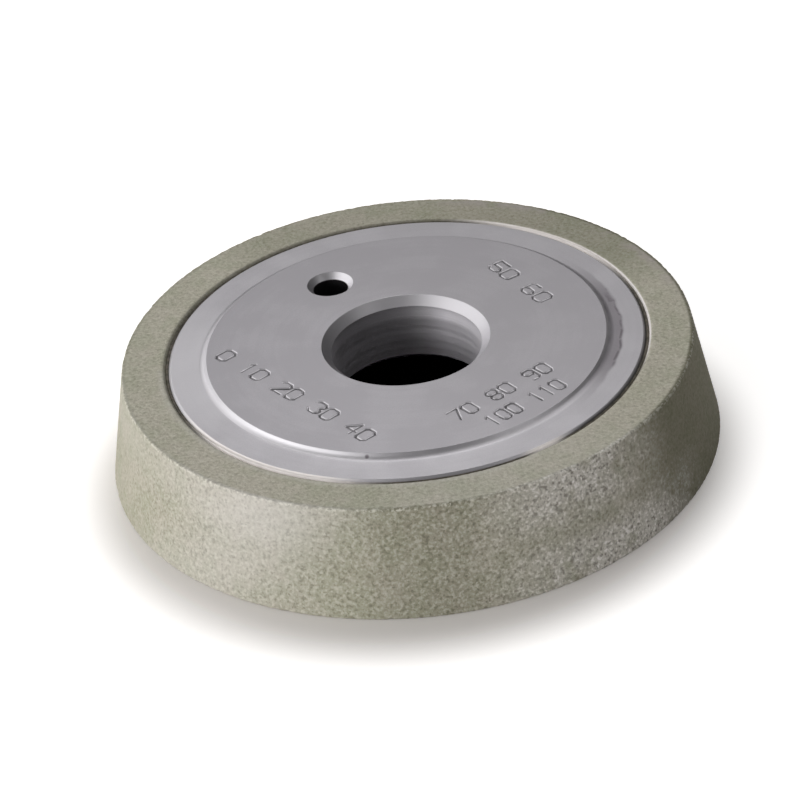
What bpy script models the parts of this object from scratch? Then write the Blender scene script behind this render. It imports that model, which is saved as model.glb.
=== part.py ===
"""A CBN grinding wheel, lying on its back face.

A turned steel hub carries a ring of vitrified cubic boron nitride abrasive. The ring's outer
face tapers, wider at the back, and the ring is glued round the hub. The edge breaks on both
sides of the glue line make a fine V groove on each face.

Units are metres. +Z runs along the spindle axis, out of the front face, and the origin is in
the middle of the back face. Radii and heights in the profiles are measured from there.
"""

import math

import bmesh
import bpy
from mathutils import Matrix, Vector

MM = 0.001

# The hub's seat, which the ring is glued round, and the joint between them
HUB_SEAT_RADIUS = 50.1 * MM
GLUE_THICKNESS = 0.2 * MM
GLUE_CLEARANCE = 0.25 * MM
GROOVE_EDGE_BREAK = 0.35 * MM

# The abrasive ring: its wall at the front, and how much further out the back reaches
RING_HEIGHT = 23.3 * MM
RING_FRONT_WALL = 9.2 * MM
RING_FLARE = 4.65 * MM
RING_OUTER_EDGE_BREAK = 0.2 * MM

# The hub's front: a low ledge next to the groove, then a slope up to the clamping boss
LEDGE_WIDTH = 6.8 * MM
BOSS_HEIGHT = 1.0 * MM
BOSS_SLOPE_WIDTH = 0.95 * MM
BOSS_FOOT_FILLET = 0.8 * MM

# The hub's bore and the web that it passes through
BORE_RADIUS = 15.875 * MM
BORE_FRONT_CHAMFER = 1.85 * MM
BORE_BACK_CHAMFER = 1.0 * MM
WEB_THICKNESS = 15.0 * MM

# The recess in the hub's back, which leaves room for the rear flange, and the rim round it
RIM_WALL = 8.1 * MM
RECESS_CORNER_FILLET = 2.0 * MM
RECESS_EDGE_BREAK = 0.5 * MM

# The drive pin hole, through the web, a little out from midway between bore and recess wall
PIN_HOLE_RADIUS = 3.75 * MM
PIN_HOLE_COUNTERSINK = 1.25 * MM
PIN_HOLE_OUTWARD_OFFSET = 0.66 * MM
PIN_HOLE_ANGLE = math.radians(120)

# How finely the round shapes are cut
TURNED_STEPS = 120
PIN_HOLE_STEPS = 40
FILLET_STEPS = 4
SHARP_ANGLE = math.radians(25)
CUTTER_OVERSHOOT = 1.0 * MM

# Sizes that follow from the ones above
FRONT_FACE = RING_HEIGHT
GLUE_INNER_RADIUS = HUB_SEAT_RADIUS + GLUE_CLEARANCE
GLUE_OUTER_RADIUS = GLUE_INNER_RADIUS + GLUE_THICKNESS
RING_BORE_RADIUS = GLUE_OUTER_RADIUS + GLUE_CLEARANCE
RING_FRONT_RADIUS = RING_BORE_RADIUS + RING_FRONT_WALL
RING_BACK_RADIUS = RING_FRONT_RADIUS + RING_FLARE
BOSS_FACE = FRONT_FACE + BOSS_HEIGHT
BOSS_FOOT_RADIUS = HUB_SEAT_RADIUS - GROOVE_EDGE_BREAK - LEDGE_WIDTH
BOSS_RADIUS = BOSS_FOOT_RADIUS - BOSS_SLOPE_WIDTH
RECESS_RADIUS = HUB_SEAT_RADIUS - RIM_WALL
RECESS_FLOOR = BOSS_FACE - WEB_THICKNESS
PIN_HOLE_PITCH_RADIUS = (BORE_RADIUS + RECESS_RADIUS) / 2 + PIN_HOLE_OUTWARD_OFFSET


def clear_scene():
    for scene_object in list(bpy.data.objects):
        bpy.data.objects.remove(scene_object, do_unlink=True)


def finish(name, colour, roughness, metallic):
    """A plain Principled material."""
    material = bpy.data.materials.new(name)
    material.use_nodes = True
    shader = material.node_tree.nodes["Principled BSDF"]
    shader.inputs["Base Color"].default_value = (*colour, 1.0)
    shader.inputs["Roughness"].default_value = roughness
    shader.inputs["Metallic"].default_value = metallic
    return material


def chamfered(before, corner, after, width):
    """The two points that cut a corner off, each this far from it along its own side."""
    return [corner + (end - corner).normalized() * width for end in (before, after)]


def filleted(before, corner, after, radius):
    """Points along the arc that rounds a corner and touches both of its sides."""
    to_before = (before - corner).normalized()
    to_after = (after - corner).normalized()
    half_angle = to_before.angle(to_after) / 2
    middle = (to_before + to_after).normalized()
    centre = corner + middle * (radius / math.sin(half_angle))
    sweep = math.pi / 2 - half_angle
    toward_corner = -middle
    sideways = (to_before - middle * to_before.dot(middle)).normalized()
    points = []
    for step in range(FILLET_STEPS + 1):
        turn = sweep * (1 - 2 * step / FILLET_STEPS)
        points.append(centre + (toward_corner * math.cos(turn) + sideways * math.sin(turn)) * radius)
    return points


def profile(corners):
    """The closed outline through corners of (radius, height, shape of the corner, its size)."""
    places = [Vector((radius, height)) for radius, height, _, _ in corners]
    outline = []
    for index, (_, _, shape, size) in enumerate(corners):
        before = places[index - 1]
        after = places[(index + 1) % len(places)]
        if shape == "chamfer":
            outline += chamfered(before, places[index], after, size)
        elif shape == "fillet":
            outline += filleted(before, places[index], after, size)
        else:
            outline.append(places[index])
    return outline


def turned(name, outline, steps, material=None):
    """A solid turned from an outline that stays clear of the axis."""
    shape = bmesh.new()
    points = [shape.verts.new((place.x, 0.0, place.y)) for place in outline]
    for index, point in enumerate(points):
        shape.edges.new((points[index - 1], point))
    bmesh.ops.spin(
        shape,
        geom=shape.verts[:] + shape.edges[:],
        cent=(0.0, 0.0, 0.0),
        axis=(0.0, 0.0, 1.0),
        angle=math.tau,
        steps=steps,
        use_merge=True,
    )
    bmesh.ops.recalc_face_normals(shape, faces=shape.faces)
    mesh = bpy.data.meshes.new(name)
    shape.to_mesh(mesh)
    shape.free()
    mesh.shade_smooth()
    mesh.set_sharp_from_angle(angle=SHARP_ANGLE)
    if material:
        mesh.materials.append(material)
    solid = bpy.data.objects.new(name, mesh)
    bpy.context.collection.objects.link(solid)
    return solid


def countersunk_cutter(name, radius, countersink, low, high, steps):
    """A round drill shape that leaves a countersink where it passes each of two faces."""
    flare = countersink + CUTTER_OVERSHOOT
    rings = (
        (low - CUTTER_OVERSHOOT, radius + flare),
        (low + countersink, radius),
        (high - countersink, radius),
        (high + CUTTER_OVERSHOOT, radius + flare),
    )
    shape = bmesh.new()
    loops = []
    for height, ring_radius in rings:
        made = bmesh.ops.create_circle(
            shape,
            segments=steps,
            radius=ring_radius,
            matrix=Matrix.Translation((0.0, 0.0, height)),
        )
        loops.append(made["verts"])
    for lower, upper in zip(loops, loops[1:]):
        points = lower + upper
        edges = [edge for edge in shape.edges if all(point in points for point in edge.verts)]
        bmesh.ops.bridge_loops(shape, edges=edges)
    bmesh.ops.holes_fill(shape, edges=shape.edges, sides=steps)
    bmesh.ops.recalc_face_normals(shape, faces=shape.faces)
    mesh = bpy.data.meshes.new(name)
    shape.to_mesh(mesh)
    shape.free()
    cutter = bpy.data.objects.new(name, mesh)
    bpy.context.collection.objects.link(cutter)
    cutter.hide_render = True
    cutter.display_type = "WIRE"
    return cutter


def make_hub():
    """The steel hub: flat back rim, recess, web with the bore, and the boss on the front."""
    outline = profile(
        (
            (BORE_RADIUS, RECESS_FLOOR, "chamfer", BORE_BACK_CHAMFER),
            (RECESS_RADIUS, RECESS_FLOOR, "fillet", RECESS_CORNER_FILLET),
            (RECESS_RADIUS, 0.0, "chamfer", RECESS_EDGE_BREAK),
            (HUB_SEAT_RADIUS, 0.0, "chamfer", GROOVE_EDGE_BREAK),
            (HUB_SEAT_RADIUS, FRONT_FACE, "chamfer", GROOVE_EDGE_BREAK),
            (BOSS_FOOT_RADIUS, FRONT_FACE, "fillet", BOSS_FOOT_FILLET),
            (BOSS_RADIUS, BOSS_FACE, "sharp", 0.0),
            (BORE_RADIUS, BOSS_FACE, "chamfer", BORE_FRONT_CHAMFER),
        )
    )
    steel = finish("turned_steel", (0.34, 0.33, 0.35), 0.38, 1.0)
    hub = turned("hub", outline, TURNED_STEPS, steel)

    drill = countersunk_cutter(
        "pin_hole_cutter", PIN_HOLE_RADIUS, PIN_HOLE_COUNTERSINK, RECESS_FLOOR, BOSS_FACE, PIN_HOLE_STEPS
    )
    drill.location = (
        PIN_HOLE_PITCH_RADIUS * math.cos(PIN_HOLE_ANGLE),
        PIN_HOLE_PITCH_RADIUS * math.sin(PIN_HOLE_ANGLE),
        0.0,
    )
    drilled = hub.modifiers.new("pin_hole", "BOOLEAN")
    drilled.operation = "DIFFERENCE"
    drilled.solver = "EXACT"
    drilled.object = drill
    return hub


def make_abrasive_ring():
    """The abrasive ring, with its tapered outer face."""
    outline = profile(
        (
            (RING_BORE_RADIUS, 0.0, "chamfer", GROOVE_EDGE_BREAK),
            (RING_BACK_RADIUS, 0.0, "chamfer", RING_OUTER_EDGE_BREAK),
            (RING_FRONT_RADIUS, FRONT_FACE, "chamfer", RING_OUTER_EDGE_BREAK),
            (RING_BORE_RADIUS, FRONT_FACE, "chamfer", GROOVE_EDGE_BREAK),
        )
    )
    abrasive = finish("vitrified_abrasive", (0.36, 0.34, 0.26), 0.9, 0.0)
    return turned("abrasive_ring", outline, TURNED_STEPS, abrasive)


def make_glue_line():
    """The cured adhesive that holds the ring, from one groove's bottom to the other's."""
    outline = profile(
        (
            (GLUE_INNER_RADIUS, GROOVE_EDGE_BREAK, "sharp", 0.0),
            (GLUE_OUTER_RADIUS, GROOVE_EDGE_BREAK, "sharp", 0.0),
            (GLUE_OUTER_RADIUS, FRONT_FACE - GROOVE_EDGE_BREAK, "sharp", 0.0),
            (GLUE_INNER_RADIUS, FRONT_FACE - GROOVE_EDGE_BREAK, "sharp", 0.0),
        )
    )
    glue = finish("cured_adhesive", (0.5, 0.47, 0.4), 0.45, 0.0)
    return turned("glue_line", outline, TURNED_STEPS, glue)


def main():
    clear_scene()
    wheel = bpy.data.objects.new("wheel", None)
    bpy.context.collection.objects.link(wheel)
    for piece in (make_hub(), make_abrasive_ring(), make_glue_line()):
        piece.parent = wheel


main()
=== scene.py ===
# %% [markdown]
# This lesson dresses one grinding wheel: a turned steel hub with a ring of cubic boron nitride
# abrasive glued round it. The solids come packed from the CAD model, and they fix every size.
# They are faceted, so the three pieces are turned again here, finely enough to look round from
# close by, and each gets a finish made of nodes. All lengths are in metres, +Z runs out of the
# wheel's front face, and the wheel lies on its back.

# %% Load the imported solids
import math

import bmesh
import bpy
from mathutils import Matrix, Vector, noise


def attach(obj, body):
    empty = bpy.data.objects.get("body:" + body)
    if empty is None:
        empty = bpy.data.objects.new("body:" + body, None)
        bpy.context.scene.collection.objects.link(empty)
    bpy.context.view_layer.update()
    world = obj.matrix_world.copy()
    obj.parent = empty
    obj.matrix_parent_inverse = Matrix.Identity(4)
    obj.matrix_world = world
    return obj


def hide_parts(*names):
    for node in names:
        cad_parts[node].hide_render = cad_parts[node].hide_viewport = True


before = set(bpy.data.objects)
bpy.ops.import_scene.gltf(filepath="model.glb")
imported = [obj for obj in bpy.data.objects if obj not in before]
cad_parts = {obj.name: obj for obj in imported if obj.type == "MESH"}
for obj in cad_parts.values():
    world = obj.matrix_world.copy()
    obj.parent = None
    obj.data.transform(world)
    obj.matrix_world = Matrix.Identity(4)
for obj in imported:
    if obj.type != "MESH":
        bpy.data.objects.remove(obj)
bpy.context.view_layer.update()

MM = 0.001

# %% [markdown]
# The photograph was taken with a long lens from about 33 degrees above the bench, with the
# camera tilted a little to one side. Its place was found by fitting the wheel's circles to their
# ellipses in the picture, so the numbers below aren't round. The lens and the sensor are given
# in millimetres, as on a real camera. A camera looks along its own -Z with +Y up, so three
# directions at right angles to each other are all that turns it.

# %% Set up the camera
CAMERA_ELEVATION = math.radians(33.145)
CAMERA_TILT = math.radians(-6.427)
CAMERA_DISTANCE = 669.1 * MM
LENS_LENGTH = 143.85
SENSOR_WIDTH = 36.0
NEAREST_SEEN = 10.0 * MM
WHEEL_RIGHT_OF_CENTRE = 1.28 * MM
WHEEL_ABOVE_CENTRE = 11.96 * MM
FRONT_FACE = 23.3 * MM

level = Vector((1.0, 0.0, 0.0))
rising = Vector((0.0, math.sin(CAMERA_ELEVATION), math.cos(CAMERA_ELEVATION)))
forward = Vector((0.0, math.cos(CAMERA_ELEVATION), -math.sin(CAMERA_ELEVATION)))
right = level * math.cos(CAMERA_TILT) + rising * math.sin(CAMERA_TILT)
up = rising * math.cos(CAMERA_TILT) - level * math.sin(CAMERA_TILT)

camera_data = bpy.data.cameras.new("camera")
camera_data.lens = LENS_LENGTH
camera_data.sensor_width = SENSOR_WIDTH
camera_data.clip_start = NEAREST_SEEN
camera = bpy.data.objects.new("camera", camera_data)
camera.matrix_world = Matrix((right, up, -forward)).transposed().to_4x4()
camera.location = (
    Vector((0.0, 0.0, FRONT_FACE))
    - right * WHEEL_RIGHT_OF_CENTRE
    - up * WHEEL_ABOVE_CENTRE
    - forward * CAMERA_DISTANCE
)
bpy.context.collection.objects.link(camera)
bpy.context.scene.camera = camera
print("Camera stands at", [round(value, 4) for value in camera.location])

# %% [markdown]
# A material is a small tree of nodes, and these helpers keep the cells that draw them short. One
# adds a node and sets its values, and others multiply, add up, compare or mix. A share is a
# number from 0 to 1 at each point of the surface, and says how much of something shows there.


# %% Helpers for material nodes
def new_tree(name):
    """A new material's node tree and its Principled shader."""
    material = bpy.data.materials.new(name)
    material.use_nodes = True
    return material, material.node_tree, material.node_tree.nodes["Principled BSDF"]


def plug(tree, socket, value):
    """Joins an output to a socket, or sets the socket to a plain value."""
    if isinstance(value, bpy.types.NodeSocket):
        tree.links.new(value, socket)
    else:
        socket.default_value = value


def add_node(tree, kind, settings=None, **sockets):
    """A node with its settings, and with its named sockets joined or set."""
    node = tree.nodes.new(kind)
    for name, value in (settings or {}).items():
        setattr(node, name, value)
    for name, value in sockets.items():
        plug(tree, node.inputs[name.replace("_", " ")], value)
    return node


def maths(tree, operation, first, second=0.0):
    """One step of arithmetic between outputs or numbers."""
    node = add_node(tree, "ShaderNodeMath", {"operation": operation})
    plug(tree, node.inputs[0], first)
    plug(tree, node.inputs[1], second)
    return node.outputs[0]


def product(tree, *shares):
    """Several shares multiplied together."""
    result = shares[0]
    for share in shares[1:]:
        result = maths(tree, "MULTIPLY", result, share)
    return result


def total(tree, *amounts):
    """Several amounts added up."""
    result = amounts[0]
    for amount in amounts[1:]:
        result = maths(tree, "ADD", result, amount)
    return result


def strongest(tree, *shares):
    """The largest of several shares."""
    result = shares[0]
    for share in shares[1:]:
        result = maths(tree, "MAXIMUM", result, share)
    return result


def inverse(tree, share):
    """What a share leaves: 1 where it is 0, and 0 where it is 1."""
    return maths(tree, "SUBTRACT", 1.0, share)


def blend(tree, share, first, second):
    """Two colours mixed by a share: all of the first where it is 0."""
    node = add_node(tree, "ShaderNodeMix", {"data_type": "RGBA"})
    plug(tree, node.inputs["Factor"], share)
    plug(tree, node.inputs["A"], first)
    plug(tree, node.inputs["B"], second)
    return node.outputs["Result"]


# %% [markdown]
# Most marks on a wheel follow its shape: they lie at one radius, at one height or in one stretch
# of its circumference. These helpers turn a point of the surface into such numbers and the
# numbers into shares with soft edges. A painted image would do it too, but nodes stay sharp from
# any distance and need no unwrapping.


# %% Helpers that find a place on the wheel
def ramp(tree, value, low, high):
    """0 below low, 1 above high and a soft rise between them."""
    settings = {"interpolation_type": "SMOOTHSTEP"}
    node = add_node(tree, "ShaderNodeMapRange", settings, Value=value, From_Min=low, From_Max=high)
    return node.outputs["Result"]


def band(tree, value, start, end, soft):
    """1 between two limits and 0 outside them, with shoulders of this width."""
    rise = ramp(tree, value, start - soft / 2, start + soft / 2)
    fall = ramp(tree, value, end - soft / 2, end + soft / 2)
    return maths(tree, "SUBTRACT", rise, fall)


def distance_from(tree, place, point):
    """How far a place is from a fixed point."""
    node = add_node(tree, "ShaderNodeVectorMath", {"operation": "DISTANCE"}, Vector=place)
    node.inputs[1].default_value = point
    return node.outputs["Value"]


def flattened(tree, place):
    """The same place at height 0."""
    node = add_node(tree, "ShaderNodeVectorMath", {"operation": "MULTIPLY"}, Vector=place)
    node.inputs[1].default_value = (1.0, 1.0, 0.0)
    return node.outputs["Vector"]


def polar(tree, place):
    """Distance from the wheel's axis, angle round it in degrees, and height."""
    across, along, height = add_node(tree, "ShaderNodeSeparateXYZ", Vector=place).outputs
    from_axis = distance_from(tree, flattened(tree, place), (0.0, 0.0, 0.0))
    angle = maths(tree, "DEGREES", maths(tree, "ARCTAN2", along, across))
    return from_axis, angle, height


def around(tree, azimuth, spans):
    """Rises from 0 to 1 in each span of azimuth, given as its start, its end and its soft edge."""
    return strongest(tree, *(band(tree, azimuth, *span) for span in spans))


def facing(tree, azimuth, direction):
    """The cosine of the angle to a direction: 1 at its azimuth, -1 on the far side."""
    return maths(tree, "COSINE", maths(tree, "RADIANS", total(tree, azimuth, -direction)))


def speckle(tree, place, size, detail=2.0, roughness=0.5):
    """Soft random values with spots of about this size, between roughly 0.2 and 0.8."""
    node = add_node(tree, "ShaderNodeTexNoise", Vector=place, Scale=1.0 / size)
    node.inputs["Detail"].default_value = detail
    node.inputs["Roughness"].default_value = roughness
    return node.outputs["Fac"]


# %% [markdown]
# The wheel lies on a plain white table, an ordinary matt surface that takes the wheel's shadow.
# In the photograph the ground is bleached to paper white, except close round the wheel, where
# the shadow was kept. A glow that only the camera and reflections see does the same here, with
# no more light on the wheel: it fades out towards the wheel, a little more so at the front. The
# table lies a hair under the wheel, so that no two faces share a plane.


# %% Make the floor
def object_from(name, shape):
    """An object in the scene with this mesh."""
    mesh = bpy.data.meshes.new(name)
    shape.to_mesh(mesh)
    shape.free()
    made = bpy.data.objects.new(name, mesh)
    bpy.context.collection.objects.link(made)
    return made


TABLE_HALF_WIDTH = 6.0
TABLE_DROP = 0.02 * MM
TABLE_WHITE = (0.92, 0.885, 0.86, 1.0)
TABLE_GLOW = 0.68
SHADOW_MIDDLE = (-1.5 * MM, -9.5 * MM, 0.0)
SHADOW_START = 58.0 * MM
SHADOW_END = 76.0 * MM

shape = bmesh.new()
bmesh.ops.create_grid(shape, x_segments=1, y_segments=1, size=TABLE_HALF_WIDTH)
bmesh.ops.translate(shape, vec=(0.0, 0.0, -TABLE_DROP), verts=shape.verts)
floor = object_from("floor", shape)

material, tree, shader = new_tree("white_table")
shader.inputs["Base Color"].default_value = TABLE_WHITE
shader.inputs["Roughness"].default_value = 0.9
shader.inputs["Specular IOR Level"].default_value = 0.0
path = tree.nodes.new("ShaderNodeLightPath").outputs
seen = strongest(
    tree, path["Is Camera Ray"], path["Is Glossy Ray"], path["Is Transmission Ray"]
)
place = tree.nodes.new("ShaderNodeTexCoord").outputs["Object"]
bleached = ramp(tree, distance_from(tree, place, SHADOW_MIDDLE), SHADOW_START, SHADOW_END)
glow = add_node(tree, "ShaderNodeEmission", Strength=product(tree, seen, bleached, TABLE_GLOW))
both = tree.nodes.new("ShaderNodeAddShader")
tree.links.new(shader.outputs["BSDF"], both.inputs[0])
tree.links.new(glow.outputs["Emission"], both.inputs[1])
tree.links.new(both.outputs["Shader"], tree.nodes["Material Output"].inputs["Surface"])
floor.data.materials.append(material)
print("Table is", 2 * TABLE_HALF_WIDTH, "m across")

# %% [markdown]
# Through the bore the photograph shows nothing but black, because the hub's recess lies closed
# on the table. Soft light would still find its way in, so a black disc lies there as painted shade.

# %% Lay a disc of painted shade under the recess
SHADE_DISC_RADIUS = 41.0 * MM
SHADE_DISC_HEIGHT = 0.1 * MM
SHADE_DISC_BLACK = (0.004, 0.004, 0.004, 1.0)

shape = bmesh.new()
bmesh.ops.create_circle(shape, cap_ends=True, segments=96, radius=SHADE_DISC_RADIUS)
bmesh.ops.translate(shape, vec=(0.0, 0.0, SHADE_DISC_HEIGHT), verts=shape.verts)
shade_disc = object_from("painted_shade_disc", shape)

# The disc's black is painted shade that keeps the recess dark.
material, tree, shader = new_tree("painted_shade_disc")
shader.inputs["Base Color"].default_value = SHADE_DISC_BLACK
shader.inputs["Roughness"].default_value = 1.0
shader.inputs["Specular IOR Level"].default_value = 0.0
shade_disc.data.materials.append(material)
print("Paper is", round(2 * SHADE_DISC_RADIUS / MM, 1), "mm across")

# %% [markdown]
# The light is that of a small product studio. A wide card low on the left lights the side of the
# ring and gives the steel its bright edges. Softboxes above, on the left and behind light the
# front face and draw the soft shadow. A second low card at the back left and a small one on the
# right put glints on the bore's chamfer and on the boss's foot, and a dim even world fills the
# rest. A lamp shines along its own -Z, so each is turned to look at the wheel.

# %% Hang the lamps
LAMP_DISTANCE = 0.9
WORLD_STRENGTH = 0.1
# Name, azimuth and elevation in degrees, width and height in metres, power in watts
SOFTBOXES = (
    ("low_card", -146.0, 11.0, 1.5, 0.4, 6.9),
    ("side_card", 140.0, 12.0, 0.9, 0.35, 0.5),
    ("left_softbox", -165.0, 40.0, 1.0, 0.7, 1.8),
    ("back_softbox", 138.0, 30.0, 0.6, 0.5, 0.85),
    ("top_softbox", 60.0, 60.0, 1.0, 0.7, 1.9),
    ("rear_softbox", 100.0, 50.0, 0.7, 0.5, 0.38),
    ("glint_card", -24.0, 45.0, 0.25, 0.25, 0.4),
)


def hang_softbox(name, azimuth, elevation, width, height, power):
    """A rectangular lamp that looks at the wheel from a direction in degrees."""
    lamp = bpy.data.lights.new(name, "AREA")
    lamp.shape = "RECTANGLE"
    lamp.size = width
    lamp.size_y = height
    lamp.energy = power
    away = Vector(
        (
            math.cos(math.radians(azimuth)) * math.cos(math.radians(elevation)),
            math.sin(math.radians(azimuth)) * math.cos(math.radians(elevation)),
            math.sin(math.radians(elevation)),
        )
    )
    softbox = bpy.data.objects.new(name, lamp)
    softbox.rotation_euler = away.to_track_quat("Z", "Y").to_euler()
    softbox.location = away * LAMP_DISTANCE
    bpy.context.collection.objects.link(softbox)


for softbox in SOFTBOXES:
    hang_softbox(*softbox)

world = bpy.data.worlds.new("studio")
world.use_nodes = True
background = world.node_tree.nodes["Background"]
background.inputs["Color"].default_value = (1.0, 1.0, 1.0, 1.0)
background.inputs["Strength"].default_value = WORLD_STRENGTH
bpy.context.scene.world = world
print("Hung", len(SOFTBOXES), "lamps")

# %% [markdown]
# Every piece of this wheel was made on a lathe or a round grinder, so each is drawn the way it
# was cut: half of its section as a chain of edges, then one turn round the axis. Corners are
# bevelled while the section is still a wire, because there are only a few of them then. A wide
# flat face next to a rounded corner would be shaded as if it curved too, so each long edge gets
# a support point near both ends, which keeps the curve in the corner.

# %% Helpers for turned pieces
SUPPORT_STEP = 0.03 * MM
MERGE_DISTANCE = 0.0005 * MM
DOUBLINGS = 5


def draw_section(corners):
    """A closed wire through corners of (radius, height)."""
    wire = bmesh.new()
    points = [wire.verts.new((radius, 0.0, height)) for radius, height in corners]
    for index, point in enumerate(points):
        wire.edges.new((points[index - 1], point))
    return wire


def nearest_point(wire, radius, height):
    """The point of a section that lies closest to a place."""
    place = Vector((radius, 0.0, height))
    return min(wire.verts, key=lambda point: (point.co - place).length)


def bevel_corners(wire, points, size, steps):
    """Cuts corners off with one step, or rounds them with more."""
    bmesh.ops.bevel(
        wire,
        geom=points,
        offset=size,
        segments=steps,
        profile=0.5,
        affect="VERTICES",
        material=-1,
    )


def support_long_edges(wire, longer_than):
    """A point near both ends of each long edge."""
    for edge in [edge for edge in wire.edges if edge.calc_length() > longer_than]:
        start, end = edge.verts
        share = SUPPORT_STEP / edge.calc_length()
        rest, _ = bmesh.utils.edge_split(edge, start, share)
        for piece in (edge, rest):
            if end in piece.verts:
                bmesh.utils.edge_split(piece, end, share / (1.0 - share))


def turn_section(wire, steps):
    """Turns the wire once round Z in 32 times this many steps and points the faces outwards."""
    share = math.tau / 2**DOUBLINGS
    bmesh.ops.spin(
        wire,
        geom=wire.verts[:] + wire.edges[:],
        cent=(0.0, 0.0, 0.0),
        axis=(0.0, 0.0, 1.0),
        angle=share,
        steps=steps,
    )
    for _ in range(DOUBLINGS):
        copy = bmesh.ops.duplicate(wire, geom=wire.verts[:] + wire.edges[:] + wire.faces[:])
        copied = [part for part in copy["geom"] if isinstance(part, bmesh.types.BMVert)]
        turn = Matrix.Rotation(share, 3, "Z")
        bmesh.ops.rotate(wire, verts=copied, cent=(0.0, 0.0, 0.0), matrix=turn)
        share *= 2
    bmesh.ops.remove_doubles(wire, verts=wire.verts, dist=MERGE_DISTANCE)
    bmesh.ops.recalc_face_normals(wire, faces=wire.faces)
    print("Volume in cm3:", round(wire.calc_volume(signed=True) * 1e6, 2))


def make_object(name, shape, sharp_angle=30.0):
    """A smooth-shaded object with this mesh, sharp only at steep edges."""
    made = object_from(name, shape)
    made.data.shade_smooth()
    made.data.set_sharp_from_angle(angle=math.radians(sharp_angle))
    return made


# %% [markdown]
# The hub is one piece of steel. From the back it has a rim that the wheel lies on, a recess for
# the rear flange and a web with the bore. On the front a low ledge runs along the groove, and a
# concave foot and a slope lead up to the clamping boss. The chamfers are cut first, then every
# sharp corner gets a radius of a few hundredths, as an edge breaks in use, and that radius is
# what catches the light. The two inner corners keep the radius of the tool that cut them.

# %% Turn the hub
SEAT_RADIUS = 50.1 * MM
BOSS_FACE = 24.3 * MM
RECESS_FLOOR = 9.3 * MM
BORE_RADIUS = 15.875 * MM
RECESS_RADIUS = 42.0 * MM
BOSS_RADIUS = 42.0 * MM
BOSS_FOOT_RADIUS = 42.95 * MM
BORE_FRONT_CHAMFER = 1.85 * MM
BORE_BACK_CHAMFER = 1.0 * MM
RECESS_EDGE_BREAK = 0.5 * MM
BACK_GROOVE_BREAK = 0.35 * MM
FRONT_GROOVE_BREAK = 0.5 * MM
RECESS_FILLET = 2.0 * MM
BOSS_FOOT_FILLET = 0.72 * MM
EDGE_ROUNDING = 0.07 * MM
LONG_EDGE = 0.25 * MM

section = draw_section(
    (
        (BORE_RADIUS, RECESS_FLOOR),
        (RECESS_RADIUS, RECESS_FLOOR),
        (RECESS_RADIUS, 0.0),
        (SEAT_RADIUS, 0.0),
        (SEAT_RADIUS, FRONT_FACE),
        (BOSS_FOOT_RADIUS, FRONT_FACE),
        (BOSS_RADIUS, BOSS_FACE),
        (BORE_RADIUS, BOSS_FACE),
    )
)
recess_corner = nearest_point(section, RECESS_RADIUS, RECESS_FLOOR)
boss_foot = nearest_point(section, BOSS_FOOT_RADIUS, FRONT_FACE)
for radius, height, width in (
    (BORE_RADIUS, RECESS_FLOOR, BORE_BACK_CHAMFER),
    (RECESS_RADIUS, 0.0, RECESS_EDGE_BREAK),
    (SEAT_RADIUS, 0.0, BACK_GROOVE_BREAK),
    (SEAT_RADIUS, FRONT_FACE, FRONT_GROOVE_BREAK),
    (BORE_RADIUS, BOSS_FACE, BORE_FRONT_CHAMFER),
):
    bevel_corners(section, [nearest_point(section, radius, height)], width, 1)
sharp = [point for point in section.verts if point not in (recess_corner, boss_foot)]
bevel_corners(section, sharp, EDGE_ROUNDING, 3)
bevel_corners(section, [nearest_point(section, RECESS_RADIUS, RECESS_FLOOR)], RECESS_FILLET, 8)
bevel_corners(section, [nearest_point(section, BOSS_FOOT_RADIUS, FRONT_FACE)], BOSS_FOOT_FILLET, 8)
support_long_edges(section, LONG_EDGE)
print("Hub section has", len(section.verts), "points")
turn_section(section, 12)
hub = make_object("turned_hub", section)

# %% [markdown]
# Things are cut out of the hub with a Boolean. It takes one closed cutter at a time, here a
# drill shape for the pin hole first. A cone wider than the hole at both ends leaves the
# countersinks, and both cones reach past the faces, so no two faces lie in one plane.


# %% Drill the pin hole
def cut_out(body, cutter):
    """Cuts one closed object out of another and deletes it."""
    cut = body.modifiers.new("cut", "BOOLEAN")
    cut.operation = "DIFFERENCE"
    cut.solver = "MANIFOLD"
    cut.object = cutter
    bpy.context.view_layer.update()
    evaluated = body.evaluated_get(bpy.context.evaluated_depsgraph_get())
    mesh = bpy.data.meshes.new_from_object(evaluated)
    mesh.name = body.name
    body.modifiers.remove(cut)
    body.data = mesh
    bpy.data.objects.remove(cutter, do_unlink=True)


PIN_HOLE_RADIUS = 3.75 * MM
PIN_HOLE_COUNTERSINK = 1.25 * MM
PIN_HOLE_PITCH_RADIUS = 29.6 * MM
PIN_HOLE_ANGLE = math.radians(120)
PAST_THE_FACE = 1.0 * MM

drill = draw_section(
    (
        (0.0, RECESS_FLOOR - PAST_THE_FACE),
        (PIN_HOLE_RADIUS + PIN_HOLE_COUNTERSINK + PAST_THE_FACE, RECESS_FLOOR - PAST_THE_FACE),
        (PIN_HOLE_RADIUS, RECESS_FLOOR + PIN_HOLE_COUNTERSINK),
        (PIN_HOLE_RADIUS, BOSS_FACE - PIN_HOLE_COUNTERSINK),
        (PIN_HOLE_RADIUS + PIN_HOLE_COUNTERSINK + PAST_THE_FACE, BOSS_FACE + PAST_THE_FACE),
        (0.0, BOSS_FACE + PAST_THE_FACE),
    )
)
axis_line = [edge for edge in drill.edges if all(point.co.x == 0.0 for point in edge.verts)]
bmesh.ops.delete(drill, geom=axis_line, context="EDGES_FACES")
turn_section(drill, 3)
hole_centre = Matrix.Rotation(PIN_HOLE_ANGLE, 3, "Z") @ Vector((PIN_HOLE_PITCH_RADIUS, 0.0, 0.0))
bmesh.ops.translate(drill, vec=hole_centre, verts=drill.verts)
cut_out(hub, make_object("drill", drill))
print("Pin hole drilled at", [round(value / MM, 2) for value in hole_centre])

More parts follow.
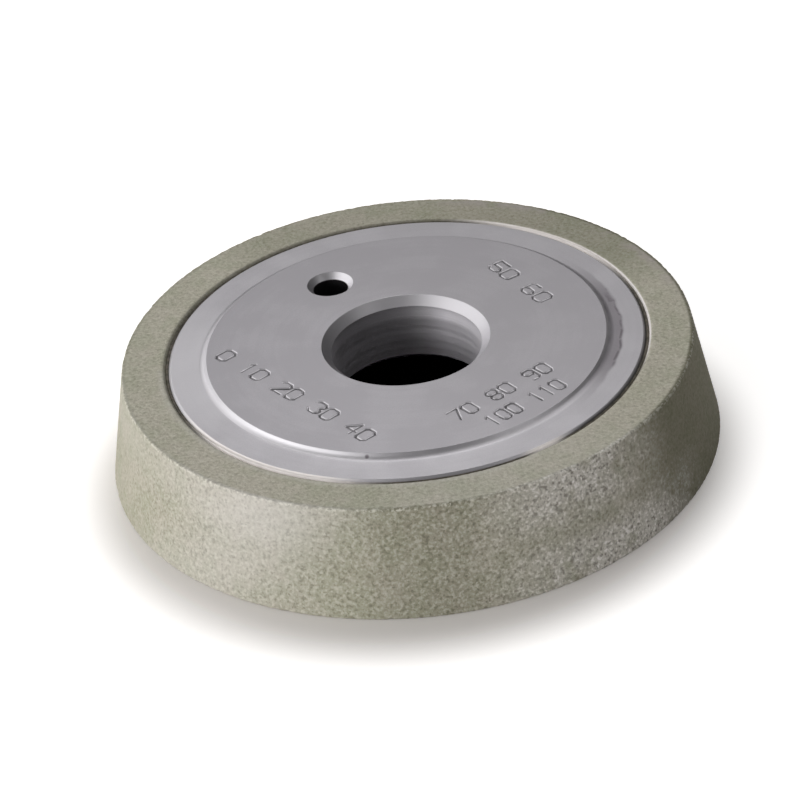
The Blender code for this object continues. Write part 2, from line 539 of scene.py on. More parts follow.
# %% [markdown]
# A wheel like this has a few short straight lines engraved in its front face. Here they are
# plain numbers, a scale of tens as on a dial. A text object would give the outlines of printed
# letters, but an engraver follows a single line, so each digit is a path between the points of a
# small grid, five across and seven up.

# %% Lay out the numbers
DIGIT_PATHS = {
    "0": "01 05 16 36 45 41 30 10 01",
    "1": "15 26 20",
    "2": "05 16 36 45 44 00 40",
    "3": "05 16 36 45 44 33 42 41 30 10 01",
    "4": "30 36 02 42",
    "5": "46 06 03 33 42 41 30 10 01",
    "6": "36 16 05 01 10 30 41 42 33 13 02",
    "7": "06 46 10",
    "8": "13 04 05 16 36 45 44 33 13 02 01 10 30 41 42 33",
    "9": "10 30 41 45 36 16 05 04 13 33 44",
}
GRID_STEPS_ACROSS = 4
GRID_STEPS_UP = 6
DIGIT_HEIGHT = 3.8 * MM
DIGIT_SHARE = 0.76
DIGIT_MARGIN = 0.12
# The words, the middle of their line in mm, its direction in degrees and the step per character
NUMBER_LINES = (
    ("0 10 20 30 40", (-24.0, -16.4), -52.3, 3.75),
    ("50 60", (25.8, 17.8), -60.6, 4.1),
    ("70 80 90", (17.9, -23.9), 36.0, 3.3),
    ("100 110", (22.4, -28.9), 36.0, 2.9),
)


def digit_strokes(words, middle, direction, pitch):
    """The strokes of each character as pairs of places on the boss."""
    turn = Matrix.Rotation(math.radians(direction), 3, "Z")
    digits = []
    for index, digit in enumerate(words):
        if digit == " ":
            continue
        left = (index - len(words) / 2) * pitch + DIGIT_MARGIN * pitch
        path = []
        for spot in DIGIT_PATHS[digit].split():
            along = left + int(spot[0]) / GRID_STEPS_ACROSS * DIGIT_SHARE * pitch
            upward = (int(spot[1]) / GRID_STEPS_UP - 0.5) * DIGIT_HEIGHT / MM
            path.append((turn @ Vector((along, upward, 0.0)) + Vector((*middle, 0.0))) * MM)
        digits.append(list(zip(path, path[1:])))
    return digits


digits = [digit for line in NUMBER_LINES for digit in digit_strokes(*line)]
passes = max(len(digit) for digit in digits)
print(len(digits), "digits of up to", passes, "strokes")

# %% [markdown]
# A pointed cutter runs along the paths. What it takes away in one stroke is the hull of its cone
# at both ends, and its width wavers a little on the way. Each pass cuts one stroke of every
# digit, so the hulls of a pass never touch each other, and the Boolean gets a clean cutter.

# %% Engrave the numbers
STROKE_DEPTH = 0.3 * MM
STROKE_WIDTH = 0.84 * MM
STROKE_LIFT = 0.1 * MM
WIDTH_WAVER = 0.45
WAVER_LENGTH = 1.1 * MM
CONE_SIDES = 12


def add_stroke(shape, start, end):
    """The hull of a cone at both ends of one stroke."""
    points = []
    for place in (start, end):
        size = 1.0 + WIDTH_WAVER * noise.noise(place / WAVER_LENGTH)
        spread = STROKE_WIDTH / 2 * size * (1.0 + STROKE_LIFT / (STROKE_DEPTH * size))
        tip = Vector((0.0, 0.0, BOSS_FACE - STROKE_DEPTH * size))
        rim = Vector((0.0, 0.0, BOSS_FACE + STROKE_LIFT))
        points.append(shape.verts.new(place + tip))
        for side in range(CONE_SIDES):
            turn = Matrix.Rotation(math.tau * side / CONE_SIDES, 3, "Z")
            points.append(shape.verts.new(place + turn @ Vector((spread, 0.0, 0.0)) + rim))
    hull = bmesh.ops.convex_hull(shape, input=points)
    inner = [part for part in hull["geom_interior"] if isinstance(part, bmesh.types.BMVert)]
    bmesh.ops.delete(shape, geom=inner, context="VERTS")


for number in range(passes):
    strokes = bmesh.new()
    for digit in digits:
        if number < len(digit):
            add_stroke(strokes, *digit[number])
    bmesh.ops.recalc_face_normals(strokes, faces=strokes.faces)
    cut_out(hub, make_object("strokes", strokes))
hub.data.shade_smooth()
hub.data.set_sharp_from_angle(angle=math.radians(30))
print("After the cuts the hub has", len(hub.data.polygons), "faces")

# %% [markdown]
# Where two strokes meet, an edge can be so shallow that the boss would be shaded round it. Every
# edge between the flat boss and a stroke is therefore marked sharp.

# %% Keep the strokes crisp
NUMBERS_FROM = 19.0 * MM
NUMBERS_TO = 41.5 * MM
FLAT_WITHIN = 0.001 * MM
SHALLOW_ANGLE = math.radians(2)

marked = 0
crisp = bmesh.new()
crisp.from_mesh(hub.data)
for edge in crisp.edges:
    flat = all(abs(point.co.z - BOSS_FACE) < FLAT_WITHIN for point in edge.verts)
    inside = all(NUMBERS_FROM < point.co.xy.length < NUMBERS_TO for point in edge.verts)
    if flat and inside and edge.calc_face_angle(0.0) > SHALLOW_ANGLE:
        edge.smooth = False
        marked += 1
crisp.to_mesh(hub.data)
crisp.free()
print(marked, "edges marked sharp round the strokes")

# %% [markdown]
# Turned and lightly blasted steel is grey with a soft sheen. Lathe marks are rings on a flat
# face and hoops in a bore, and one number makes both: radius plus height changes across every
# turned surface and stays the same all the way round. A one-dimensional noise of that number
# gives the marks, a fine three-dimensional one the blasted grain. The boss is a shade darker than
# the ledge. Painted shade darkens the steel towards the right, and a painted highlight lightens
# the ledge on the left.

# %% Steel finish
STEEL = (0.72, 0.70, 0.73, 1.0)
STEEL_PALE_AND_HIGHLIGHT = (0.85, 0.83, 0.86, 1.0)
STEEL_SHADE = (0.56, 0.54, 0.57, 1.0)
STEEL_PAINTED_SHADE = (0.42, 0.405, 0.42, 1.0)

material, tree, shader = new_tree("turned_steel")
place = tree.nodes.new("ShaderNodeTexCoord").outputs["Object"]
radius, azimuth, height = polar(tree, place)
travel = maths(tree, "ADD", radius, height)


def rings(pitch, detail):
    """Random rings this far apart round the turned surfaces."""
    settings = {"noise_dimensions": "1D"}
    node = add_node(tree, "ShaderNodeTexNoise", settings, W=travel, Scale=1.0 / pitch)
    node.inputs["Detail"].default_value = detail
    return node.outputs["Fac"]


fine_rings = rings(0.16 * MM, 1.0)
broad_rings = rings(1.7 * MM, 2.0)
bore_hoops = rings(2.6 * MM, 0.6)
grain = speckle(tree, place, 0.25 * MM, 3.0, 0.6)
cloud = speckle(tree, place, 11.0 * MM, 3.0)
in_bore = maths(tree, "LESS_THAN", radius, BORE_RADIUS + 0.05 * MM)
on_boss = maths(tree, "LESS_THAN", radius, BOSS_RADIUS)
shade = total(
    tree,
    product(tree, ramp(tree, cloud, 0.35, 0.65), 0.35),
    product(tree, ramp(tree, broad_rings, 0.4, 0.6), 0.07),
    product(tree, ramp(tree, grain, 0.35, 0.65), 0.2),
    product(tree, on_boss, 0.65),
)
colour = blend(tree, shade, STEEL, STEEL_SHADE)
# Painted shade darkens the steel more and more towards the right.
painted_shade_right = ramp(tree, facing(tree, azimuth, 20.0), -1.0, 1.0)
colour = blend(tree, product(tree, painted_shade_right, 0.32), colour, STEEL_PAINTED_SHADE)
# A painted highlight lightens the ledge and the steel outside the boss on the left.
painted_highlight_left = ramp(tree, facing(tree, azimuth, 180.0), 0.82, 1.0)
painted_highlight_left = product(tree, painted_highlight_left, inverse(tree, on_boss), 0.6)
colour = blend(tree, painted_highlight_left, colour, STEEL_PALE_AND_HIGHLIGHT)
print("Steel has", len(tree.nodes), "nodes so far")

# %% [markdown]
# Some parts of the steel are paler, because they were cut last: the bore and its chamfer and the
# strokes of the numbers. The left of the slope is lightened as a painted highlight, and the bottom
# of each stroke is darkened as painted shade. Radius, height and angle pick these parts out, so no
# face needs its own material.

# %% Paler cuts, a painted highlight on the slope and painted shade in the numbers
DARK_PAINTED_SHADE = (0.10, 0.095, 0.10, 1.0)
SLOPE_END = 43.3 * MM

on_slope = band(tree, radius, BOSS_RADIUS, SLOPE_END, 0.1 * MM)
# The left of the slope is lightened as a painted highlight.
painted_highlight_slope = product(tree, on_slope, band(tree, azimuth, -156.0, -106.0, 14.0))
colour = blend(tree, painted_highlight_slope, colour, STEEL_PALE_AND_HIGHLIGHT)
chamfer_end = BORE_RADIUS + BORE_FRONT_CHAMFER + 0.05 * MM
chamfer = band(tree, radius, BORE_RADIUS - 0.1 * MM, chamfer_end, 0.1 * MM)
below_face = maths(tree, "LESS_THAN", height, BOSS_FACE - 0.04 * MM)
fresh_cut = product(tree, strongest(tree, product(tree, on_boss, below_face), chamfer), 0.7)
colour = blend(tree, strongest(tree, fresh_cut, in_bore), colour, STEEL_PALE_AND_HIGHLIGHT)
# The bottom of each stroke is darkened as painted shade.
deep_down = maths(tree, "LESS_THAN", height, BOSS_FACE - 0.15 * MM)
painted_shade_in_strokes = product(tree, on_boss, deep_down, maths(tree, "GREATER_THAN", radius, NUMBERS_FROM))
colour = blend(tree, product(tree, painted_shade_in_strokes, 0.75), colour, DARK_PAINTED_SHADE)
print("Steel has", len(tree.nodes), "nodes so far")

# %% [markdown]
# Painted shade darkens the wall of the pin hole, the bore's wall at the back left, and the left of
# the countersink and of the bore's chamfer. The countersink is also lightened as a painted
# highlight. The edge break beside the groove is cream in some stretches, glue wiped over it with a
# painted highlight, and dark with painted shade in others.

# %% Painted shade in the holes, glue and painted light on the edge break
GLUE_CREAM_AND_HIGHLIGHT = (0.98, 0.93, 0.90, 1.0)
GROOVE_PAINTED_SHADE = (0.035, 0.03, 0.025, 1.0)
HUB_GLUE_AND_HIGHLIGHT_SPANS = ((28.0, 66.0, 16.0), (-156.0, -108.0, 14.0), (-65.0, -55.0, 6.0))
HUB_PAINTED_SHADE_SPANS = ((-52.0, 16.0, 10.0), (92.0, 166.0, 20.0))

from_pin = distance_from(tree, flattened(tree, place), hole_centre)
across = add_node(tree, "ShaderNodeSeparateXYZ", Vector=place).outputs["X"]
pin_wall = maths(tree, "LESS_THAN", from_pin, PIN_HOLE_RADIUS + 0.05 * MM)
countersink = maths(tree, "LESS_THAN", from_pin, PIN_HOLE_RADIUS + PIN_HOLE_COUNTERSINK)
# The countersink is lightened as a painted highlight.
colour = blend(tree, countersink, colour, STEEL_PALE_AND_HIGHLIGHT)
pin_left = inverse(tree, ramp(tree, across, hole_centre.x - 3.5 * MM, hole_centre.x + 1.0 * MM))
pin_left = product(tree, pin_left, countersink, 0.7)
bore_left = product(tree, ramp(tree, facing(tree, azimuth, 160.0), 0.4, 0.9), chamfer, 0.6)
bore_back = product(tree, ramp(tree, facing(tree, azimuth, 125.0), 0.3, 0.9), in_bore, 0.65)
# Painted shade: the pin hole's wall, the left of its countersink and bore chamfer, the bore's back
# left.
painted_shade_in_holes = strongest(tree, pin_wall, pin_left, bore_left, bore_back)
colour = blend(tree, painted_shade_in_holes, colour, DARK_PAINTED_SHADE)

at_groove = ramp(tree, radius, SEAT_RADIUS - 0.6 * MM, SEAT_RADIUS - 0.4 * MM)
in_front = maths(tree, "GREATER_THAN", height, FRONT_FACE - 2.0 * MM)
at_groove = product(tree, at_groove, in_front)
# The cream stretches are glue and a painted highlight, the dark ones painted shade.
glue_and_highlight_on_edge = product(tree, around(tree, azimuth, HUB_GLUE_AND_HIGHLIGHT_SPANS), at_groove)
outermost = ramp(tree, radius, SEAT_RADIUS - 0.5 * MM, SEAT_RADIUS - 0.1 * MM)
painted_shade_on_edge = product(tree, around(tree, azimuth, HUB_PAINTED_SHADE_SPANS), at_groove, outermost, 0.85)
colour = blend(tree, glue_and_highlight_on_edge, colour, GLUE_CREAM_AND_HIGHLIGHT)
colour = blend(tree, painted_shade_on_edge, colour, GROOVE_PAINTED_SHADE)
print("Steel has", len(tree.nodes), "nodes so far")

# %% [markdown]
# On the ledge beside the boss something has dried: a dull veil reaches out from the boss's foot
# to a wavy outline, a little darker and blotchy, with a smudge at its far end. It is drawn in
# radius and azimuth, with a noise that makes the outline waver. A small pit at the boss's foot,
# nearest to the eye, is drawn only as a dark spot of painted shade.

# %% Dried stain and the painted shade of a small pit
STAIN = (0.19, 0.165, 0.185, 1.0)
STAIN_RADIUS = 45.25 * MM
PIT = (-10.4 * MM, -41.3 * MM, BOSS_FACE - 0.5 * MM)

waver = product(tree, maths(tree, "SUBTRACT", speckle(tree, place, 6.0 * MM, 1.0), 0.5), 1.6 * MM)
shore = total(tree, radius, waver)
blotches = ramp(tree, speckle(tree, place, 2.2 * MM, 3.0), 0.3, 0.6)
veil = band(tree, shore, BOSS_RADIUS + 0.6 * MM, STAIN_RADIUS, 0.9 * MM)
veil = product(tree, veil, band(tree, azimuth, -32.0, 24.0, 26.0), 0.55)
outline = band(tree, shore, STAIN_RADIUS - 0.7 * MM, STAIN_RADIUS, 0.6 * MM)
outline = product(tree, outline, band(tree, azimuth, -24.0, 18.0, 8.0))
outline = product(tree, outline, total(tree, product(tree, blotches, 0.35), 0.5))
smudge = band(tree, shore, BOSS_RADIUS + 1.7 * MM, STAIN_RADIUS, 1.3 * MM)
smudge = product(tree, smudge, band(tree, azimuth, 6.0, 18.0, 11.0))
smudge = product(tree, smudge, total(tree, product(tree, blotches, 0.3), 0.6))
stained = strongest(tree, veil, outline, smudge)
colour = blend(tree, stained, colour, STAIN)

# The pit is a dark spot of painted shade.
pit_painted_shade = inverse(tree, ramp(tree, distance_from(tree, place, PIT), 0.2 * MM, 0.6 * MM))
colour = blend(tree, product(tree, pit_painted_shade, 0.8), colour, STAIN)
plug(tree, shader.inputs["Base Color"], colour)
print("Stain reaches", round((STAIN_RADIUS - BOSS_RADIUS) / MM, 2), "mm out from the boss")

# %% [markdown]
# The marks roughen the steel as well as colour it. They go to the roughness and to two Bump
# nodes, one for the whole hub and a deeper one for the bore, where the boring tool left plain
# hoops. The metallic share drops wherever the edge break is painted with cream glue or with
# painted shade.

# %% Sheen and relief of the steel
plug(tree, shader.inputs["Metallic"], inverse(tree, strongest(tree, glue_and_highlight_on_edge, painted_shade_on_edge)))
rough = total(
    tree, product(tree, grain, 0.18), 0.36, product(tree, in_bore, 0.3), product(tree, stained, 0.1)
)
plug(tree, shader.inputs["Roughness"], rough)
relief = total(tree, product(tree, grain, 0.25), product(tree, fine_rings, 0.05))
bump = add_node(tree, "ShaderNodeBump", Strength=0.5, Distance=0.05 * MM, Height=relief)
hoops = product(tree, total(tree, product(tree, fine_rings, 0.12), bore_hoops), in_bore)
deeper = add_node(tree, "ShaderNodeBump", Strength=1.0, Distance=0.3 * MM, Height=hoops)
plug(tree, deeper.inputs["Normal"], bump.outputs["Normal"])
plug(tree, shader.inputs["Normal"], deeper.outputs["Normal"])
hub.data.materials.clear()
hub.data.materials.append(material)
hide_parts("hub")
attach(hub, "root")
print("Steel has", len(tree.nodes), "nodes in all")

# %% [markdown]
# The ring is pressed and fired from abrasive grains and glass, and its outer face is dressed to a
# taper. It is turned like the hub, but with faces less than half a millimetre wide, because the
# next step needs points close enough together to carry the grains. Only the bore, which the glue
# hides, keeps long faces.

# %% Turn the abrasive ring
RING_BORE_RADIUS = 50.8 * MM
RING_FRONT_RADIUS = 60.0 * MM
RING_BACK_RADIUS = 64.65 * MM
RING_EDGE_BREAK = 0.2 * MM
RING_FACE_WIDTH = 0.46 * MM

section = draw_section(
    (
        (RING_BORE_RADIUS, 0.0),
        (RING_BACK_RADIUS, 0.0),
        (RING_FRONT_RADIUS, FRONT_FACE),
        (RING_BORE_RADIUS, FRONT_FACE),
    )
)
for height, width in ((0.0, BACK_GROOVE_BREAK), (FRONT_FACE, FRONT_GROOVE_BREAK)):
    bevel_corners(section, [nearest_point(section, RING_BORE_RADIUS, height)], width, 1)
outer_corners = [point for point in section.verts if point.co.x > RING_FRONT_RADIUS - 1.0 * MM]
bevel_corners(section, outer_corners, RING_EDGE_BREAK, 2)
for edge in section.edges[:]:
    wall = max(point.co.x for point in edge.verts) < RING_BORE_RADIUS + 0.1 * MM
    cuts = 1 if wall else int(edge.calc_length() / RING_FACE_WIDTH)
    if cuts:
        bmesh.ops.subdivide_edges(section, edges=[edge], cuts=cuts)
print("Ring section has", len(section.verts), "points")
turn_section(section, 28)

# %% [markdown]
# Nothing on the fired ring is quite smooth. Each point is sunk a little by noises: one for the
# grains and, along the outer edges, two more for the crumbs that break off there. A displacement
# in the material would do it too, but then the mesh itself would stay smooth. Points only ever
# sink, so the ring never grows past its true size.

# %% Sink the grains and break the edges
GRAIN_DEPTH = 0.09 * MM
CRUMB_DEPTH = 0.3 * MM
CRUMB_REACH = 0.7 * MM
# Spots per mm of the noises for grains, crumbs and fine crumbs
GRAIN_NOISE = 1.7
CRUMB_NOISE = 0.9
FINE_CRUMB_NOISE = 2.3

edge_lines = (Vector((RING_FRONT_RADIUS, FRONT_FACE)), Vector((RING_BACK_RADIUS, 0.0)))
section.normal_update()
for point in section.verts:
    spot = point.co / MM
    reach = Vector((point.co.xy.length, point.co.z))
    if reach.x < RING_BORE_RADIUS + 0.4 * MM:
        continue
    sunk = GRAIN_DEPTH * (0.5 + 0.5 * noise.noise(spot * GRAIN_NOISE)) ** 1.5
    edge_distance = min((reach - line).length for line in edge_lines)
    near_edge = max(0.0, 1.0 - edge_distance / CRUMB_REACH)
    crumb = max(0.0, noise.noise(spot * CRUMB_NOISE) - 0.1)
    crumb += 0.5 * max(0.0, noise.noise(spot * FINE_CRUMB_NOISE))
    sunk += CRUMB_DEPTH * near_edge * crumb
    point.co -= point.normal * sunk
bmesh.ops.recalc_face_normals(section, faces=section.faces)
print("Ring has", 2 * len(section.faces), "triangles")
ring = make_object("glued_abrasive_ring", section, 80.0)

# %% [markdown]
# Seen close, the abrasive is a packed mass of grains: greenish and beige ones, some pale, some
# dark, and small black pores between them. Most of the tone comes from a soft noise, because
# grains touch and overlap, and a Voronoi texture adds a little tone of its own to each grain.
# Coarser noises give the uneven firing. The front was ground flat, so its grains stand out less
# than those of the outer side, where radius plus a fifth of the height is always the same.

# %% Grains of the abrasive
FIRED_GREEN = (0.48, 0.475, 0.365, 1.0)
FIRED_BEIGE = (0.565, 0.53, 0.44, 1.0)
GRAIN_PALE = (0.84, 0.82, 0.73, 1.0)
GRAIN_DARK = (0.24, 0.225, 0.15, 1.0)
PORE = (0.05, 0.045, 0.03, 1.0)
SIDE_TAPER = 0.2

material, tree, shader = new_tree("vitrified_abrasive")
place = tree.nodes.new("ShaderNodeTexCoord").outputs["Object"]
radius, azimuth, height = polar(tree, place)
tapered = total(tree, radius, product(tree, height, SIDE_TAPER))
on_side = ramp(tree, tapered, RING_BACK_RADIUS - 1.05 * MM, RING_BACK_RADIUS - 0.35 * MM)
on_front = inverse(tree, on_side)


def grain_tone(size):
    """One random tone for each grain of about this size."""
    cells = add_node(tree, "ShaderNodeTexVoronoi", Vector=place, Scale=1.0 / size)
    return add_node(tree, "ShaderNodeSeparateColor", Color=cells.outputs["Color"]).outputs["Red"]


soft_grain = speckle(tree, place, 0.8 * MM, 3.0, 0.6)
fine_grain = speckle(tree, place, 0.22 * MM, 2.0, 0.6)
tone = total(tree, product(tree, grain_tone(0.5 * MM), 0.2), product(tree, soft_grain, 0.8))
firing = total(
    tree,
    product(tree, speckle(tree, place, 5.0 * MM, 4.0, 0.6), 0.6),
    product(tree, speckle(tree, place, 30.0 * MM, 2.0), 0.4),
)
colour = blend(tree, ramp(tree, firing, 0.36, 0.64), FIRED_GREEN, FIRED_BEIGE)
lit_side = product(tree, on_side, band(tree, azimuth, -142.0, 172.0, 14.0))
contrast = total(tree, 0.24, product(tree, lit_side, 0.12))
pale = ramp(tree, tone, 0.48, 0.66)
dark = inverse(tree, ramp(tree, tone, 0.34, 0.52))
pores = inverse(tree, ramp(tree, tone, 0.3, 0.4))
colour = blend(tree, product(tree, pale, contrast), colour, GRAIN_PALE)
colour = blend(tree, product(tree, dark, contrast), colour, GRAIN_DARK)
colour = blend(tree, product(tree, pores, contrast, 0.6), colour, PORE)
print("Abrasive has", len(tree.nodes), "nodes so far")

# %% [markdown]
# The tone also changes slowly round the ring. The front face is darker towards its back, and
# painted shade darkens the whole side, most on its right and a little at its front. Painted light
# makes the side palest at its left front, in a patch that leans over and below the front edge.
# The front face is paler where it is nearest to the eye and next to the groove on the left.
# Towards the right front the single grains stand out more and more.

# %% Slow changes of tone, painted light and painted shade round the ring
SHADE_AND_DARK_TONE = (0.11, 0.105, 0.06, 1.0)
PALE_AND_PAINTED_LIGHT = (0.72, 0.69, 0.66, 1.0)
# The leaning patch moves by this many degrees per metre of height, and stands still at 12.5 mm
LEAN = 1.1 / MM
LEAN_HEIGHT = 12.5 * MM

near_groove = band(tree, radius, RING_BORE_RADIUS, RING_BORE_RADIUS + 1.6 * MM, 1.4 * MM)
near_groove = product(tree, near_groove, on_front)
high_up = product(tree, ramp(tree, height, 10.0 * MM, 20.0 * MM), on_side)
leaning = total(tree, azimuth, product(tree, height, -LEAN), LEAN * LEAN_HEIGHT)


def patches(*rows):
    """Adds up bands, each with the angle it runs along, its limits, its part and its share."""
    shares = []
    for along, limits, part, share in rows:
        shares.append(product(tree, band(tree, along, *limits), part, share))
    return total(tree, *shares)


# Painted shade darkens the side, most on the right; the front face is darker towards its back.
painted_shade_and_dark_back = patches(
    (azimuth, (22.0, 128.0, 24.0), on_front, 0.22),
    (azimuth, (22.0, 75.0, 24.0), on_front, 0.12),
    (azimuth, (-42.0, 60.0, 18.0), on_side, 0.48),
    (azimuth, (-101.0, -82.0, 10.0), on_side, 0.15),
)
painted_shade_and_dark_back = total(tree, painted_shade_and_dark_back, product(tree, on_side, 0.28))
# Painted light pales the side's left front; the front face is paler nearest the eye and by the
# groove.
painted_light_and_paler = patches(
    (leaning, (-139.0, -114.0, 22.0), on_side, 0.25),
    (azimuth, (-136.0, -110.0, 20.0), on_side, 0.08),
    (azimuth, (-200.0, -112.0, 14.0), high_up, 0.13),
    (azimuth, (-146.0, -118.0, 16.0), high_up, 0.12),
    (azimuth, (-95.0, -45.0, 20.0), on_front, 0.1),
    (azimuth, (-200.0, -60.0, 20.0), near_groove, 0.22),
)
lively = patches(
    (azimuth, (-156.0, -48.0, 26.0), on_side, 0.12),
    (azimuth, (-92.0, -54.0, 26.0), on_side, 0.1),
)
specks = ramp(tree, tone, 0.52, 0.68)
gaps = inverse(tree, ramp(tree, tone, 0.32, 0.48))
colour = blend(tree, painted_shade_and_dark_back, colour, SHADE_AND_DARK_TONE)
colour = blend(tree, painted_light_and_paler, colour, PALE_AND_PAINTED_LIGHT)
colour = blend(tree, product(tree, specks, lively), colour, GRAIN_PALE)
colour = blend(tree, product(tree, gaps, lively), colour, PORE)
print("Abrasive has", len(tree.nodes), "nodes so far")

# %% [markdown]
# Below the front edge and above the back edge, at the right front, the outer side carries
# painted light: a greyish wash with painted glints, some nearly white, and dark gaps between them.

# %% Painted light and glints on parts of the side
PAINTED_LIGHT_GREY = (0.80, 0.77, 0.73, 1.0)
PAINTED_GLINT_PALE = (0.97, 0.94, 0.91, 1.0)
GLINT_GAP_DARK = (0.20, 0.18, 0.15, 1.0)

below_front_edge = ramp(tree, height, 8.0 * MM, 19.0 * MM)
below_front_edge = product(tree, below_front_edge, band(tree, azimuth, -73.0, -46.0, 26.0))
above_back_edge = inverse(tree, ramp(tree, height, 4.0 * MM, 13.0 * MM))
above_back_edge = product(tree, above_back_edge, band(tree, azimuth, -72.0, -36.0, 24.0))
clouded = ramp(tree, speckle(tree, place, 6.0 * MM, 4.0, 0.6), 0.25, 0.55)
# Painted light and painted glints near both edges of the side at the right front.
painted_glints_and_light = product(tree, strongest(tree, below_front_edge, above_back_edge), on_side, clouded)
colour = blend(tree, product(tree, painted_glints_and_light, 0.6), colour, PAINTED_LIGHT_GREY)
colour = blend(tree, product(tree, painted_glints_and_light, specks, 0.85), colour, PAINTED_GLINT_PALE)
colour = blend(tree, product(tree, painted_glints_and_light, gaps, 0.85), colour, GLINT_GAP_DARK)
print("Abrasive has", len(tree.nodes), "nodes so far")

# %% [markdown]
# The ring's inner edge break is darkened all round by painted shade. Where it faces the light it
# shows a cream line, glue wiped into it with a painted highlight. The outer front edge has lost
# crumbs, and the fresh breaks are pale. At the back on the right the rim of the front face has a
# mauve tinge.

# %% Edges of the ring
RING_GLUE_AND_HIGHLIGHT_SPANS = ((-16.0, 70.0, 18.0), (-146.0, -106.0, 14.0))
MAUVE = (0.47, 0.42, 0.41, 1.0)

off_edge = ramp(tree, radius, RING_BORE_RADIUS + 0.3 * MM, RING_BORE_RADIUS + 0.55 * MM)
glued = product(tree, inverse(tree, off_edge), on_front)
# Painted shade darkens the inner edge break all round; cream stretches are glue and painted
# highlight.
colour = blend(tree, product(tree, glued, 0.4), colour, GROOVE_PAINTED_SHADE)
colour = blend(tree, product(tree, glued, around(tree, azimuth, RING_GLUE_AND_HIGHLIGHT_SPANS)), colour, GLUE_CREAM_AND_HIGHLIGHT)
from_edge = maths(tree, "ABSOLUTE", maths(tree, "SUBTRACT", radius, RING_FRONT_RADIUS))
at_edge = inverse(tree, ramp(tree, from_edge, 0.1 * MM, 0.45 * MM))
at_edge = product(tree, at_edge, ramp(tree, height, 22.6 * MM, 23.0 * MM))
crumbs = product(tree, at_edge, ramp(tree, tone, 0.45, 0.6), 0.4)
colour = blend(tree, crumbs, colour, GRAIN_PALE)
outer_rim = product(tree, on_front, ramp(tree, radius, 56.0 * MM, 59.5 * MM))
greyed = product(tree, band(tree, azimuth, 12.0, 78.0, 24.0), outer_rim)
greyed = product(tree, greyed, ramp(tree, firing, 0.42, 0.58), 0.7)
colour = blend(tree, greyed, colour, MAUVE)
plug(tree, shader.inputs["Base Color"], colour)
print("Abrasive has", len(tree.nodes), "nodes so far")

# %% [markdown]
# The grains stand out from the glass between them, and the whole surface is matt. The mesh has
# the larger unevenness already. Single grains would take millions of faces, so a Bump node gives
# the finest relief, from the same noises as the colour, and pale grains catch the light.

# %% Roughness and relief of the abrasive
shader.inputs["Roughness"].default_value = 0.85
shader.inputs["Specular IOR Level"].default_value = 0.35
relief = total(tree, soft_grain, product(tree, fine_grain, 0.25), product(tree, tone, 0.3))
bump = add_node(tree, "ShaderNodeBump", Strength=0.6, Distance=0.22 * MM, Height=relief)
plug(tree, shader.inputs["Normal"], bump.outputs["Normal"])
ring.data.materials.append(material)
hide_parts("abrasive_ring")
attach(ring, "root")
print("Abrasive has", len(tree.nodes), "nodes in all")

# %% [markdown]
# The glue fills the joint up to the bottom of the groove and stands there in a low, uneven bead,
# with the same cream and dark stretches as the edge breaks beside it. In the cream stretches it
# was pushed up and wiped, so the bead rises nearly level with the faces and catches the light.
# It keeps clear of both neighbours by a hair.

# %% Run the glue line
GLUE_INSIDE = SEAT_RADIUS + 0.01 * MM
GLUE_OUTSIDE = RING_BORE_RADIUS - 0.01 * MM
GLUE_MIDDLE = (GLUE_INSIDE + GLUE_OUTSIDE) / 2
GLUE_SIDE_DROP = 0.65 * MM
GLUE_MIDDLE_DROP = 0.3 * MM
GLUE_LIFT_AND_HIGHLIGHT_SPANS = ((24.0, 66.0, 24.0), (-150.0, -104.0, 18.0), (-64.0, -56.0, 6.0))
GLUE_LIFT = 0.24 * MM
DIP_DEPTH = 0.12 * MM
DIP_LENGTH = 1.5 * MM


def wiped_share(place):
    """How far the bead was pushed up at this angle round the wheel, from 0 to 1."""
    azimuth = math.degrees(math.atan2(place.y, place.x))
    share = 0.0
    for start, end, soft in GLUE_LIFT_AND_HIGHLIGHT_SPANS:
        share = max(share, min(azimuth - start, end - azimuth) / soft + 0.5)
    return min(1.0, share)


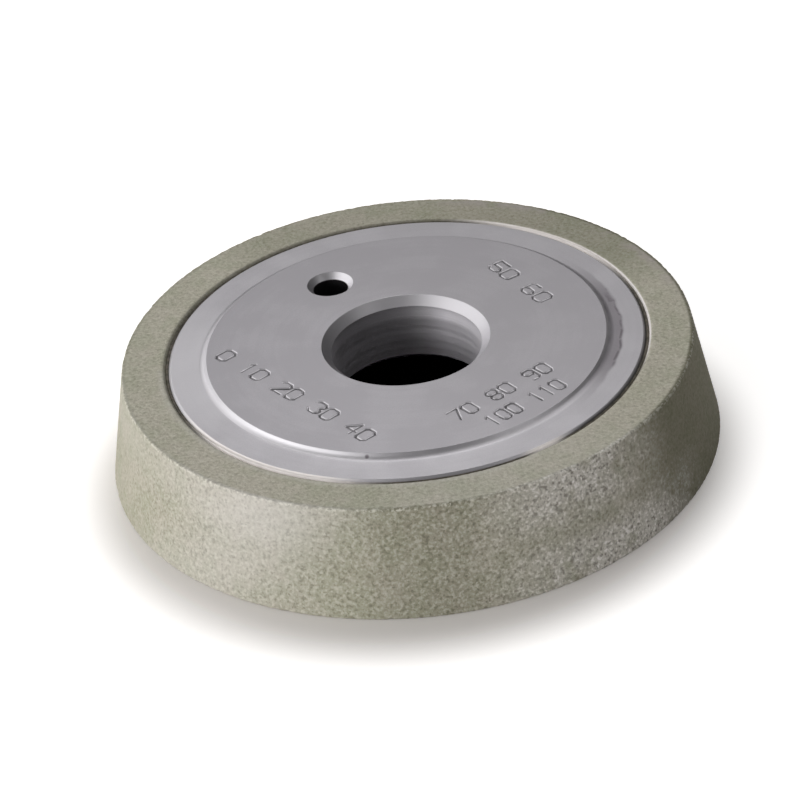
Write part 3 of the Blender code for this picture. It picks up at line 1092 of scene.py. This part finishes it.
section = draw_section(
    (
        (GLUE_INSIDE, GLUE_SIDE_DROP),
        (GLUE_MIDDLE, GLUE_MIDDLE_DROP),
        (GLUE_OUTSIDE, GLUE_SIDE_DROP),
        (GLUE_OUTSIDE, FRONT_FACE - GLUE_SIDE_DROP),
        (GLUE_MIDDLE, FRONT_FACE - GLUE_MIDDLE_DROP),
        (GLUE_INSIDE, FRONT_FACE - GLUE_SIDE_DROP),
    )
)
sloping = [edge for edge in section.edges if edge.calc_length() < 1.0 * MM]
bmesh.ops.subdivide_edges(section, edges=sloping, cuts=2)
turn_section(section, 12)
for point in section.verts:
    sunk = DIP_DEPTH * max(0.0, noise.noise(point.co / DIP_LENGTH))
    if point.co.z < FRONT_FACE / 2:
        point.co.z += sunk
    else:
        point.co.z += GLUE_LIFT * wiped_share(point.co) - sunk
bmesh.ops.recalc_face_normals(section, faces=section.faces)
glue = make_object("glue_bead", section, 60.0)
print("Glue has", len(glue.data.polygons), "faces")

# %% [markdown]
# Cured glue is a satin plastic. It is cream, with a painted highlight, where it was wiped clean,
# and elsewhere a mottled dark brown of painted shade. The spans that lift the bead also choose
# its colour, so the pale stretches are the high ones.

# %% Glue finish
GLUE_PAINTED_SHADE = (0.10, 0.09, 0.07, 1.0)
GLUE_PAINTED_SHADE_BROWN = (0.20, 0.175, 0.14, 1.0)

material, tree, shader = new_tree("cured_adhesive")
place = tree.nodes.new("ShaderNodeTexCoord").outputs["Object"]
_, azimuth, _ = polar(tree, place)
# Mottled dark brown of painted shade, with cream and a painted highlight in the lifted spans.
mottle = ramp(tree, speckle(tree, place, 1.4 * MM, 3.0), 0.35, 0.65)
colour = blend(tree, mottle, GLUE_PAINTED_SHADE, GLUE_PAINTED_SHADE_BROWN)
colour = blend(tree, around(tree, azimuth, GLUE_LIFT_AND_HIGHLIGHT_SPANS), colour, GLUE_CREAM_AND_HIGHLIGHT)
plug(tree, shader.inputs["Base Color"], colour)
shader.inputs["Roughness"].default_value = 0.6
bump = add_node(tree, "ShaderNodeBump", Strength=0.5, Distance=0.1 * MM, Height=mottle)
plug(tree, shader.inputs["Normal"], bump.outputs["Normal"])
glue.data.materials.append(material)
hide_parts("glue_line")
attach(glue, "root")
print("Glue finish has", len(tree.nodes), "nodes")

# %% [markdown]
# The last cell sets the view transform to Standard.

# %% Set the view transform
bpy.context.scene.view_settings.view_transform = "Standard"
